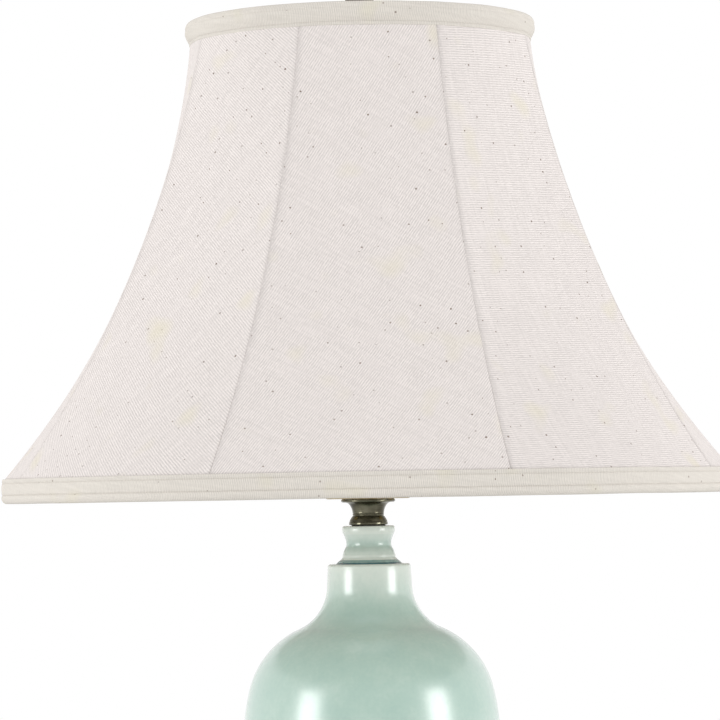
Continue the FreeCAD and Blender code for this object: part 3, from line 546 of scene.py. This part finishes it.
def jar_side(inset, start_height):
    """Points up the jar's side: flank, upper curve, shoulder and the hollow below the collar."""
    fall = BELLY_HEIGHT - FOOT_HEIGHT
    narrowing = BELLY_RADIUS - FOOT_RADIUS
    flank = (narrowing ** 2 + fall ** 2) / (2 * narrowing)
    flank_centre = (BELLY_RADIUS - flank, BELLY_HEIGHT)
    upper_centre = (BELLY_RADIUS - UPPER_RADIUS, BELLY_HEIGHT)
    shoulder_centre = on_circle(upper_centre, UPPER_RADIUS - SHOULDER_RADIUS, UPPER_ANGLE)
    across = COLLAR_RADIUS - shoulder_centre[0]
    rise = COLLAR_FOOT - shoulder_centre[1]
    hollow = (across ** 2 + rise ** 2 - SHOULDER_RADIUS ** 2) / (2 * (SHOULDER_RADIUS - across))
    hollow_centre = (COLLAR_RADIUS + hollow, COLLAR_FOOT)
    turn = math.degrees(math.atan2(hollow_centre[1] - shoulder_centre[1],
                                   hollow_centre[0] - shoulder_centre[0]))
    start = -math.degrees(math.asin((BELLY_HEIGHT - start_height) / (flank - inset)))
    points = []
    for centre, radius, begin, end, count in (
        (flank_centre, flank - inset, start, 0, 40),
        (upper_centre, UPPER_RADIUS - inset, 0, UPPER_ANGLE, 14),
        (shoulder_centre, SHOULDER_RADIUS - inset, UPPER_ANGLE, turn, 26),
        (hollow_centre, hollow + inset, 180 + turn, 180, 24),
    ):
        for step in range(1 if points else 0, count + 1):
            points.append(on_circle(centre, radius, begin + (end - begin) * step / count))
    return points


# Tones of the glaze and the heights above the collar, in millimetres, between which they lie.
BODY_TONE = 0.50
FOOT_TONE = 0.60
LIP_TONE = 0.84
CREASE_TONE = 0.02
RIDGE_TONE = 0.20
RING_TONE = 0.86
WAIST_TONE = 0.66
WAIST_SWING = 0.10
SHOULDER_TONE = 0.51
SHOULDER_GAIN = 0.32        # what the shoulder's tone gains from PALE_FROM up to the lip
PALE_FROM = -30.0
LIP_FROM = -3.0
RIDGE_TO = 2.6
WAIST_FROM = 5.5
WAIST_TO = 18.5
FOOT_TO = 6.0               # height of the foot's tone above the jar's bottom


def glaze_tone(r, z):
    """Where the glaze lies thin (pale, towards 1) or pools (deep, towards 0)."""
    height = z / MM - JAR_BOTTOM / MM
    neck = height - COLLAR_HEIGHT
    radius = r / MM
    if abs(neck + 1.0) < 2.0 and radius > 21:
        return LIP_TONE
    if PALE_FROM < neck <= LIP_FROM:
        rise = (neck - PALE_FROM) / (LIP_FROM - PALE_FROM)
        return SHOULDER_TONE + SHOULDER_GAIN * rise ** 1.2
    if -0.5 < neck < 1.0 and radius < 22:
        return CREASE_TONE
    if 0.9 < neck < RIDGE_TO and radius > 16.8:
        return RIDGE_TONE
    if WAIST_FROM <= neck < WAIST_TO:
        turn = 2 * math.pi * (neck - WAIST_FROM) / (WAIST_TO - WAIST_FROM)
        return WAIST_TONE + WAIST_SWING * math.cos(turn)
    if neck >= RIDGE_TO:
        return RING_TONE
    return FOOT_TONE if height < FOOT_TO else BODY_TONE


def make_jar():
    """Glazed jar with its foot, side, collar, neck ring and closed hollow, in one piece."""
    c = COLLAR_HEIGHT
    lip = COLLAR_RADIUS - 0.6
    foot = outline(
        (JAR_BORE, 0.0),
        (FOOT_RADIUS - 1.5, 0.0),
        ((FOOT_RADIUS - 0.45, 0.45), (FOOT_RADIUS, 1.5)),
        (FOOT_RADIUS, FOOT_HEIGHT - 2.0),
        (FOOT_RADIUS - 0.05, FOOT_HEIGHT - 0.6),
    )
    collar = outline(
        (COLLAR_RADIUS - 0.3, c - 7.0),
        (lip, c - 2.4),
        ((lip - 0.4, c - 0.6), (lip - 2.2, c)),
        (22.3, c - 0.15),
        fine=8,
    )
    neck = smoothed([(r, c + rise) for r, rise in NECK_SIDE])
    points = foot + jar_side(0.0, FOOT_HEIGHT) + collar + neck
    points += [(JAR_BORE, c + NECK_HEIGHT), (JAR_BORE, c - JAR_WALL)]
    points += list(reversed(jar_side(JAR_WALL, JAR_FLOOR))) + [(JAR_BORE, JAR_FLOOR)]
    placed = [(r * MM, z * MM + JAR_BOTTOM) for r, z in points]
    jar = lathe("jar", placed, glaze, "stand", segments=224, smooth=50,
                wobble=0.12 * MM, tone=glaze_tone)
    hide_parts("jar_body")


# ---------------------------------------------------------------- brass neck and felt

NECK_BORE = 5.0
FELT_HOLE = 0.4
STEM_SIDE = (               # radius and height above the seat: cone, grooves, bead and trumpet
    (11.75, 2.4), (11.4, 3.2), (10.9, 4.0), (10.45, 4.7), (10.1, 5.2), (9.75, 5.5), (9.6, 5.8),
    (9.75, 6.1), (9.9, 6.4), (9.8, 6.75), (9.62, 6.9), (9.65, 7.1), (9.85, 7.25), (9.9, 8.0),
    (10.1, 9.1), (10.4, 10.2), (10.8, 11.1), (11.3, 12.0), (11.9, 12.8), (12.7, 13.5),
    (13.7, 14.0), (14.6, 14.3),
)


def make_neck():
    """Turned brass neck with its lip, cone, bead, grooves, stem and thin trumpet flange."""
    low = neck_low[2] / MM
    high = neck_high[2] / MM
    flange = neck_high[0] / MM
    lip = outline(
        (NECK_BORE, low),
        (11.7, low),
        ((12.05, low + 0.15), (12.15, low + 0.5)),
        (12.15, low + 1.3),
        ((12.05, low + 1.6), (11.8, low + 1.75)),
        (11.7, low + 1.95),
        (11.8, low + 2.2),
        fine=5,
    )
    stem = smoothed([(r, low + rise) for r, rise in STEM_SIDE])
    rim = outline(
        (flange - 1.9, high - 1.85),
        ((flange - 0.02, high - 0.95), (flange - 1.3, high - 0.05)),
        (flange - 2.6, high - 0.1),
        (NECK_BORE, high - 0.1),
        fine=8,
    )
    neck = lathe("neck", scaled(lip + stem + rim), antique_brass, "stand",
                 segments=144, smooth=28)
    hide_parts("brass_neck")


def make_felt_disc():
    """Felt pad with a soft, slightly fuzzy edge."""
    radius = felt_high[0] / MM
    thick = felt_high[2] / MM
    points = outline(
        (FELT_HOLE, 0.0),
        (radius - 0.6, 0.0),
        ((radius - 0.1, 0.35), (radius, 0.8)),
        ((radius - 0.2, thick - 0.2), (radius - 0.8, thick)),
        (FELT_HOLE, thick),
        fine=6,
    )
    pad = lathe("felt_disc", scaled(points), felt, "stand", segments=160, wobble=0.15 * MM)
    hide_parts("felt_pad")


# ---------------------------------------------------------------- shade cloth


def around(radius, degrees, level):
    angle = math.radians(degrees)
    return Vector((radius * math.sin(angle), -radius * math.cos(angle), level))


def circle_through(first, second, third):
    """Centre, first spoke, axis and turn of the arc through three points in space."""
    a = second - first
    b = third - first
    axis = a.cross(b)
    offset = axis.cross(a) * b.length_squared + b.cross(axis) * a.length_squared
    centre = first + offset / (2 * axis.length_squared)
    axis.normalize()
    spoke = first - centre
    far = third - centre
    turn = math.atan2(axis.dot(spoke.cross(far)), spoke.dot(far))
    return centre, spoke, axis, turn


seam_centre, seam_spoke, seam_axis, seam_turn = circle_through(
    around(SEAM_TOP_RADIUS, SEAM_ANGLES[0], SEAM_TOP),
    around(SEAM_WAIST_RADIUS, SEAM_ANGLES[1], SEAM_WAIST),
    around(SEAM_BOTTOM_RADIUS, SEAM_ANGLES[2], SEAM_BOTTOM),
)


def on_seam(share, inset):
    """Radius, bearing and level of the first seam at a share of its length from the top."""
    spoke = Matrix.Rotation(seam_turn * share, 3, seam_axis) @ seam_spoke
    place = seam_centre + spoke
    heading = seam_axis.cross(spoke).normalized()
    steepness = abs(heading.z)
    radius = math.hypot(place.x, place.y) - inset / steepness
    return radius, math.degrees(math.atan2(place.x, -place.y)), place.z


def roundness(share):
    """1 at the rings, near 0 where a panel is stretched flat between its ribs."""
    share = min(1.0, max(0.0, share))
    if share < FLATTEST:
        tightness = math.sin(math.pi / 2 * share / FLATTEST) ** 0.6
    else:
        tightness = math.cos(math.pi / 2 * (share - FLATTEST) / (1 - FLATTEST)) ** 1.1
    return 1 - (1 - LEAST_ROUND) * tightness


def stretched(radius, share, across):
    """The cloth's radius between two seams, smaller where the panel is stretched flat."""
    chord = math.cos(math.radians(GORE / 2)) / math.cos(math.radians(GORE * (across - 0.5)))
    round_share = roundness(share)
    return radius * (round_share + (1 - round_share) * chord)


def cloth_point(share, across, inset, number):
    radius, bearing, level = on_seam(share, inset)
    return around(stretched(radius, share, across), bearing + GORE * (across + number), level)


def gore_width(share, inset, number=0):
    left = cloth_point(share, 0.0, inset, number)
    right = cloth_point(share, 1.0, inset, number)
    return (right - left).length


CLOTH_ROWS = 110
EDGE_COLUMNS = (0.0, 0.003, 0.006, 0.010, 0.015, 0.022)     # shares across a panel, at its seams
MIDDLE_COLUMNS = 44
MIDDLE_START = 0.035
MIDDLE_WIDTH = 0.93
SEAM_ROLL = 2.6 * MM        # how far from the seam the cloth starts to turn in
SEAM_DEPTH = 0.55 * MM
SEAM_BAND = 4.2 * MM        # half the width of the band along a seam that is darkened for its stitch line and the painted shadow of its rib
RIPPLE_ROUND = 21           # waves of the cloth per metre across and upwards
RIPPLE_UP = 9
RIPPLE_CALM = 12 * MM       # distance from the seam over which the waves come up
PUCKERS = 46                # puckers along a seam, for its whole length
PUCKER_DEPTH = 0.18 * MM
PUCKER_REACH = 5 * MM


def column_places():
    """Shares across a panel, closely spaced at the seams."""
    middle = [MIDDLE_START + MIDDLE_WIDTH * step / (MIDDLE_COLUMNS - 1)
              for step in range(MIDDLE_COLUMNS)]
    return list(EDGE_COLUMNS) + middle + [1 - place for place in reversed(EDGE_COLUMNS)]


def waviness(place, share, across, from_seam, number, ripple):
    """Slight waves between the seams and small puckers along them, as a height."""
    calm = min(1.0, from_seam / RIPPLE_CALM)
    wave = Vector((place.x * RIPPLE_ROUND, place.y * RIPPLE_ROUND, place.z * RIPPLE_UP))
    swell = noise.noise(wave) * ripple * calm
    side = 0 if across < 0.5 else 3.1
    pucker = noise.noise(Vector((share * PUCKERS, number * 7.3 + side, 0)))
    near = math.exp(-from_seam / PUCKER_REACH)
    return swell + pucker * near * PUCKER_DEPTH


def cloth_grid(first, last, inset, number, ripple, seam_depth):
    """Rows of points of one panel, turned in at the seams, between two shares of their length."""
    grid = []
    columns = column_places()
    for row in range(CLOTH_ROWS):
        share = first + (last - first) * row / (CLOTH_ROWS - 1)
        width = gore_width(share, inset, number)
        line = []
        for across in columns:
            from_seam = min(across, 1 - across) * width
            roll = max(0.0, 1 - from_seam / SEAM_ROLL)
            place = cloth_point(share, across, inset + seam_depth * roll ** 2, number)
            if ripple:
                outward = Vector((place.x, place.y, 0)).normalized()
                place += outward * waviness(place, share, across, from_seam, number, ripple)
            line.append(place)
        grid.append(line)
    return grid


WEAVE_SHIFT = (0.7, 0.3)    # metres between the weaves of two panels, so that none repeats


def cloth_piece(name, outer, inner, material, number, grain):
    """Closed thin mesh between two grids, with weave coordinates in metres turned to its grain."""
    rows = len(outer)
    wide = len(outer[0])
    verts = [place for grid in (outer, inner) for line in grid for place in line]
    half = rows * wide
    faces = []
    for row in range(rows - 1):
        for column in range(wide - 1):
            a = row * wide + column
            faces.append((a, a + wide, a + wide + 1, a + 1))
            faces.append((half + a, half + a + 1, half + a + wide + 1, half + a + wide))
    for row in range(rows - 1):
        for column in (0, wide - 1):
            a = row * wide + column
            b = a + wide
            faces.append((a, half + a, half + b, b) if column == 0 else (a, b, half + b, half + a))
    for column in range(wide - 1):
        for row in (0, rows - 1):
            a = row * wide + column
            b = a + 1
            faces.append((a, b, half + b, half + a) if row == 0 else (a, half + a, half + b, b))
    piece = new_object(name, verts, faces, material, "shade", smooth=0)
    turn = math.radians(grain - 90)
    flat = []
    seams = []
    for grid in (outer, inner):
        down = 0.0
        for row, line in enumerate(grid):
            if row:
                down += (line[wide // 2] - grid[row - 1][wide // 2]).length
            half_width = sum((line[i + 1] - line[i]).length for i in range(wide // 2))
            across = -half_width
            for column, place in enumerate(line):
                if column:
                    across += (place - line[column - 1]).length
                x = across * math.cos(turn) - down * math.sin(turn)
                y = across * math.sin(turn) + down * math.cos(turn)
                flat.append((x + WEAVE_SHIFT[0] * number, y + WEAVE_SHIFT[1] * number))
                seams.append(min(1.0, max(0.0, 1 - (half_width - abs(across)) / SEAM_BAND)))
    # The seam attribute marks where the stitch line and the painted shadow of the rib darken the
    # cloth.
    piece.data.attributes.new("seam", "FLOAT", "POINT").data.foreach_set("value", seams)
    weave = piece.data.uv_layers.new(name="weave")
    for loop in piece.data.loops:
        weave.data[loop.index].uv = flat[loop.vertex_index]
    return piece


def make_cover():
    """Cover panels sewn at the ribs, each with its own direction of the weave."""
    for number in range(PANELS):
        outer = cloth_grid(0.0, 1.0, 0.0, number, 0.35 * MM, SEAM_DEPTH)
        inner = cloth_grid(0.0, 1.0, COVER, number, 0.0, 0.1 * MM)
        panel = cloth_piece("cover_panel_%d" % (number + 1), outer, inner, cover_cloth,
                            number, GRAINS[number])
        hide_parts("shade_panel_%d" % (number + 1))


def make_lining():
    """Lining gores stretched over the inner side of the ribs, one behind each cover panel."""
    ends = (LINING_TOP, LINING_END)
    for number in range(PANELS):
        outer = cloth_grid(*ends, LINING_INSET, number, 0.0, 0.0)
        inner = cloth_grid(*ends, LINING_INSET + LINING, number, 0.3 * MM, -0.2 * MM)
        gore = cloth_piece("lining_gore_%d" % (number + 1), outer, inner, lining_cloth,
                           number, LINING_GRAIN)
        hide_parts("shade_lining")


# ---------------------------------------------------------------- trims

EDGE_LIFT = 0.3 * MM        # glued edge of the top trim above the cloth
EDGE_REACH = 8.0 * MM       # height over which the top trim is drawn in to the cloth
EDGE_DEPTH = 3.0 * MM       # points this far inside the edge's radius stay
TRIM_SEGMENTS = 384
TRIM_BIAS = math.radians(8)     # between the trim's length and its weave
TURN_START = 0.1            # radians by which the turned mesh has just begun, and is nearly closed
TURN_END = 6.0


def share_at(level):
    """Share of the seam's length at a level."""
    low, high = 0.0, 1.0
    for _ in range(30):
        middle = (low + high) / 2
        if on_seam(middle, 0.0)[2] > level:
            low = middle
        else:
            high = middle
    return low


def cloth_radius(share, degrees):
    """The cover's radius at a bearing in degrees."""
    radius, first, _ = on_seam(share, 0.0)
    return stretched(radius, share, (degrees - first) / GORE % 1.0)


def drawn_in(r, z, edge):
    """How far a point of the top trim follows the cloth, 0 to 1, and its share of the seam."""
    if edge is None or r <= edge[0] - EDGE_DEPTH:
        return 0.0, None
    near = max(0.0, 1 - abs(z - edge[1]) / EDGE_REACH)
    return near * near * (3 - 2 * near), share_at(z)


def trim_piece(name, points, closed_radius, node, wobble, edge=None):
    """Band turned around the shade with a slight waver, and weave coordinates along its length.

    edge is the (r, z) of a glued edge, which is drawn in to the cloth between the seams."""
    verts = []
    flat = []
    run = 0.0
    for row, (r, z) in enumerate(points):
        if row:
            run += math.hypot(r - points[row - 1][0], z - points[row - 1][1])
        drawn, share = drawn_in(r, z, edge)
        for number in range(TRIM_SEGMENTS):
            angle = 2 * math.pi * number / TRIM_SEGMENTS
            bearing = Vector((math.cos(angle), math.sin(angle), 0))
            swell = noise.noise(Vector((bearing.x * 7, bearing.y * 7, z * 60))) * wobble
            rise = noise.noise(Vector((bearing.x * 5, bearing.y * 5, 3.7))) * wobble * 0.6
            if drawn:
                degrees = math.degrees(math.atan2(bearing.x, -bearing.y))
                gap = edge[0] - EDGE_LIFT - cloth_radius(share, degrees)
                swell -= drawn * max(0.0, gap)
            place = bearing * (r + swell)
            place.z = z + rise
            verts.append(place)
            flat.append((angle * closed_radius, run))
    faces = ring_faces(len(points), TRIM_SEGMENTS)
    piece = new_object(name, verts, faces, trim_cloth, "shade", smooth=60)
    weave = piece.data.uv_layers.new(name="weave")
    cosine = math.cos(TRIM_BIAS)
    sine = math.sin(TRIM_BIAS)
    for polygon in piece.data.polygons:
        begins = any(flat[v][0] < closed_radius * TURN_START for v in polygon.vertices)
        ends = any(flat[v][0] > closed_radius * TURN_END for v in polygon.vertices)
        for loop in polygon.loop_indices:
            x, y = flat[piece.data.loops[loop].vertex_index]
            if begins and ends and x < closed_radius * TURN_START:
                x += 2 * math.pi * closed_radius
            weave.data[loop].uv = (x * cosine - y * sine, x * sine + y * cosine)
    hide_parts(node)


def make_top_trim():
    """Band over the top ring: rounded roll at the top, a crease under it and a glued edge below."""
    outer = TOP_TRIM_RADIUS / MM
    top = SHADE_TOP / MM
    edge = (outer - 0.95, top - 14.2)
    points = outline(
        (outer - 2.0, top - 14.2),
        (outer - 1.35, top - 14.4),
        ((outer - 1.0, top - 14.2), (outer - 0.95, top - 13.6)),
        (outer - 0.85, top - 12.7),
        (outer - 1.1, top - 12.35),
        (outer - 0.7, top - 12.0),
        ((outer, top - 8.5), (outer - 0.15, top - 4.6)),
        (outer - 0.45, top - 4.1),
        ((outer - 0.15, top - 3.2), (outer - 0.6, top - 1.8)),
        ((outer - 1.7, top - 0.35), (outer - 3.6, top - 0.02)),
        ((outer - 6.4, top - 0.8), (outer - 7.35, top - 3.0)),
        (outer - 7.4, top - 11.4),
        (outer - 6.7, top - 11.4),
        (outer - 6.5, top - 3.2),
        ((outer - 3.8, top - 0.95), (outer - 1.2, top - 3.0)),
        fine=8,
    )
    trim_piece("top_trim", scaled(points), TOP_TRIM_RADIUS, "shade_top_trim", 0.28 * MM,
               edge=scaled([edge])[0])


def make_bottom_trim():
    """Band around the bottom ring: flat band above, crease, and a round roll at the lower edge."""
    outer = BOTTOM_TRIM_RADIUS / MM
    low = SHADE_BOTTOM / MM
    points = outline(
        (outer - 1.5, low + 15.1),
        (outer - 1.5, low + 8.0),
        (outer - 0.95, low + 3.2),
        ((outer - 3.2, low + 0.9), (outer - 5.7, low + 3.0)),
        (outer - 5.7, low + 10.6),
        (outer - 6.5, low + 10.7),
        (outer - 6.6, low + 2.7),
        ((outer - 3.4, low), (outer - 0.3, low + 2.2)),
        ((outer, low + 3.4), (outer - 0.35, low + 4.9)),
        (outer - 0.8, low + 5.35),
        (outer - 0.35, low + 5.8),
        ((outer - 0.1, low + 8.5), (outer - 0.45, low + 12.2)),
        (outer - 0.85, low + 12.6),
        (outer - 0.5, low + 13.0),
        (outer - 0.7, low + 14.7),
        ((outer - 0.9, low + 15.2), (outer - 1.2, low + 15.3)),
        fine=8,
    )
    trim_piece("bottom_trim", scaled(points), BOTTOM_TRIM_RADIUS, "shade_bottom_trim", 0.35 * MM)


# ---------------------------------------------------------------- stage, lights and camera

FLOOR_RADIUS = 2.9
FLOOR_LEVEL = -0.0002
FLOOR_CORNERS = 96
FRONT_STRENGTH = 0.50       # the room in front of the lamp is dimmer than its white surroundings
FRONT_FROM = -0.97          # Y of the directions between which that dimness fades out
FRONT_TO = -0.45
SOFTBOX_LEFT = -60          # bearings in degrees from the front, positive towards +X
SOFTBOX_RIGHT = 64
SOFTBOX_DISTANCE = 4.0
SOFTBOX_HEIGHT = 1.95
SOFTBOX_WIDTH = 1.5
SOFTBOX_POWER = 76.0
CAMERA_DISTANCE = 2.45
CAMERA_LEVEL = 0.333
CAMERA_REACH = 30.0
FOCAL_PIXELS = 3912.0
FRAME_PIXELS = 720.0
SENSOR = 36.0
HORIZON_ROW = 493.0         # row and column of the photograph for the horizon and the lamp's axis
AXIS_COLUMN = 365.6
ROLL = -1.0                 # degrees


def make_floor():
    verts = []
    for number in range(FLOOR_CORNERS):
        angle = 2 * math.pi * number / FLOOR_CORNERS
        verts.append((FLOOR_RADIUS * math.cos(angle), FLOOR_RADIUS * math.sin(angle), FLOOR_LEVEL))
    mesh = bpy.data.meshes.new("floor")
    mesh.from_pydata(verts, [], [tuple(range(FLOOR_CORNERS))])
    material = make_plain("floor_paint", (0.86, 0.86, 0.86), 0.7, grain=30.0, lift=0.0, spread=0.02)
    mesh.materials.append(material)
    floor = bpy.data.objects.new("floor", mesh)
    bpy.context.scene.collection.objects.link(floor)


def make_softbox(name, degrees):
    """Upright area light that stands on the floor and faces the lamp's axis."""
    light = bpy.data.lights.new(name, "AREA")
    light.shape = "RECTANGLE"
    light.size = SOFTBOX_WIDTH
    light.size_y = SOFTBOX_HEIGHT
    light.energy = SOFTBOX_POWER
    lamp = bpy.data.objects.new(name, light)
    place = around(SOFTBOX_DISTANCE, degrees, SOFTBOX_HEIGHT / 2)
    lamp.location = place
    aim = Vector((0, 0, place.z)) - place
    lamp.rotation_euler = aim.to_track_quat("-Z", "Y").to_euler()
    bpy.context.scene.collection.objects.link(lamp)


def make_lights():
    """White surroundings, dimmer in front of the lamp, with a tall softbox at each side."""
    world = bpy.data.worlds.new("studio")
    world.use_nodes = True
    tree = world.node_tree
    background = tree.nodes["Background"]
    background.inputs["Color"].default_value = (1, 1, 1, 1)
    direction = tree.nodes.new("ShaderNodeTexCoord")
    parts = tree.nodes.new("ShaderNodeSeparateXYZ")
    dim = tree.nodes.new("ShaderNodeMapRange")
    dim.interpolation_type = "SMOOTHSTEP"
    dim.inputs["From Min"].default_value = FRONT_FROM
    dim.inputs["From Max"].default_value = FRONT_TO
    dim.inputs["To Min"].default_value = FRONT_STRENGTH
    dim.inputs["To Max"].default_value = 1.0
    tree.links.new(direction.outputs["Generated"], parts.inputs["Vector"])
    tree.links.new(parts.outputs["Y"], dim.inputs["Value"])
    tree.links.new(dim.outputs["Result"], background.inputs["Strength"])
    bpy.context.scene.world = world
    make_softbox("softbox_left", SOFTBOX_LEFT)
    make_softbox("softbox_right", SOFTBOX_RIGHT)


def make_camera():
    camera = bpy.data.cameras.new("camera")
    camera.sensor_width = SENSOR
    camera.lens = FOCAL_PIXELS / FRAME_PIXELS * SENSOR
    camera.clip_end = CAMERA_REACH
    view = bpy.data.objects.new("camera", camera)
    middle = FRAME_PIXELS / 2
    pitch = math.atan((HORIZON_ROW - middle) / FOCAL_PIXELS)
    pan = math.atan((AXIS_COLUMN - middle) / FOCAL_PIXELS)
    turn = (
        Matrix.Rotation(pan, 4, "Z")
        @ Matrix.Rotation(math.radians(90) + pitch, 4, "X")
        @ Matrix.Rotation(math.radians(ROLL), 4, "Z")
    )
    view.matrix_world = Matrix.Translation((0, -CAMERA_DISTANCE, CAMERA_LEVEL)) @ turn
    bpy.context.scene.collection.objects.link(view)
    bpy.context.scene.camera = view


# ---------------------------------------------------------------- build

finish_nodes()
make_jar()
make_neck()
make_felt_disc()
make_cover()
make_lining()
make_top_trim()
make_bottom_trim()
make_floor()
make_lights()
make_camera()
bpy.context.scene.view_settings.view_transform = "Standard"
